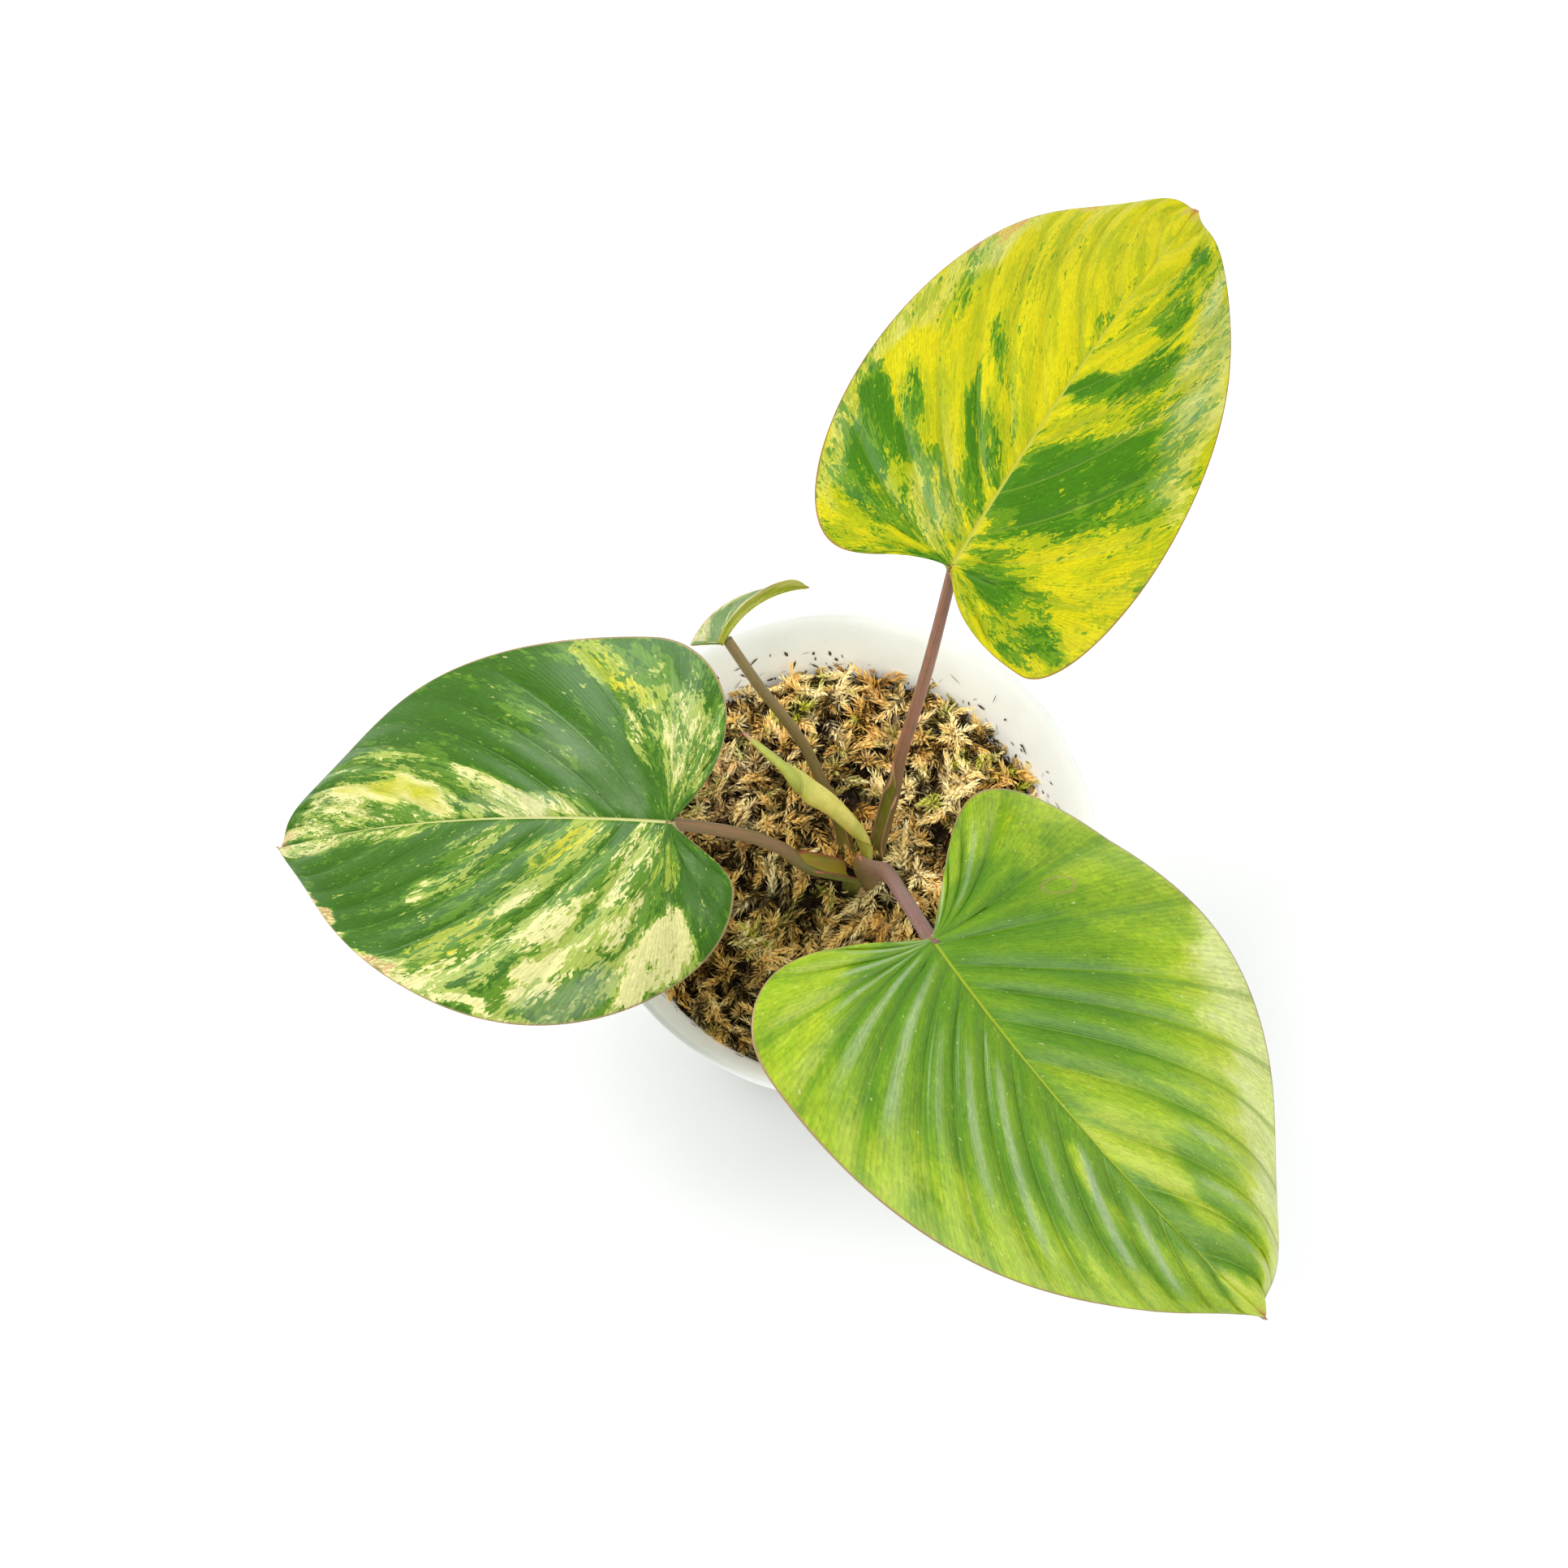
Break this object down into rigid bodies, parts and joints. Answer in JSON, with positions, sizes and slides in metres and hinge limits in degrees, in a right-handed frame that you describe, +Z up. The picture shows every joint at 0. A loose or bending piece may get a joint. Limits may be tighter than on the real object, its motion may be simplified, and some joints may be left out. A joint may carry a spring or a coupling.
{
  "type": "potted aroid houseplant with variegated heart-shaped leaves",
  "caption": "Leafy aroid with heart-shaped, yellow and cream variegated leaves on arching stalks, standing in moss in a thin flared white nursery pot.",
  "frame": {"origin": "centre of the pot's flat underside, on the surface that it stands on", "axes": "+Z up along the pot's axis; +X to the right and +Y away from the viewer in the picture"},
  "size_m": [0.2407, 0.2779, 0.1816],
  "materials": {
    "pot": "soft translucent white plastic",
    "moss": "loose dried moss",
    "rhizome": "fleshy stem and roots",
    "petiole_a": "smooth living stalk, satin",
    "petiole_b": "smooth living stalk, satin",
    "petiole_c": "smooth living stalk, satin",
    "petiole_d": "smooth living stalk, satin",
    "blade_a": "living leaf, satin",
    "blade_b": "living leaf, satin",
    "blade_c": "living leaf, glossy",
    "blade_d": "living leaf, satin",
    "rolled_leaf": "living leaf, satin",
    "chip_a": "dry wood",
    "chip_b": "dry bark",
    "chip_c": "dry bark"
  },
  "bodies": {
    "root": {"pot": "pot", "moss": "moss", "rhizome": "rhizome", "petiole_a": "petiole_a", "petiole_b": "petiole_b", "petiole_c": "petiole_c", "petiole_d": "petiole_d", "blade_a": "blade_a", "blade_b": "blade_b", "blade_c": "blade_c", "blade_d": "blade_d", "rolled_leaf": "rolled_leaf", "chip_a": "chip_a", "chip_b": "chip_b", "chip_c": "chip_c"}
  },
  "joints": []
}
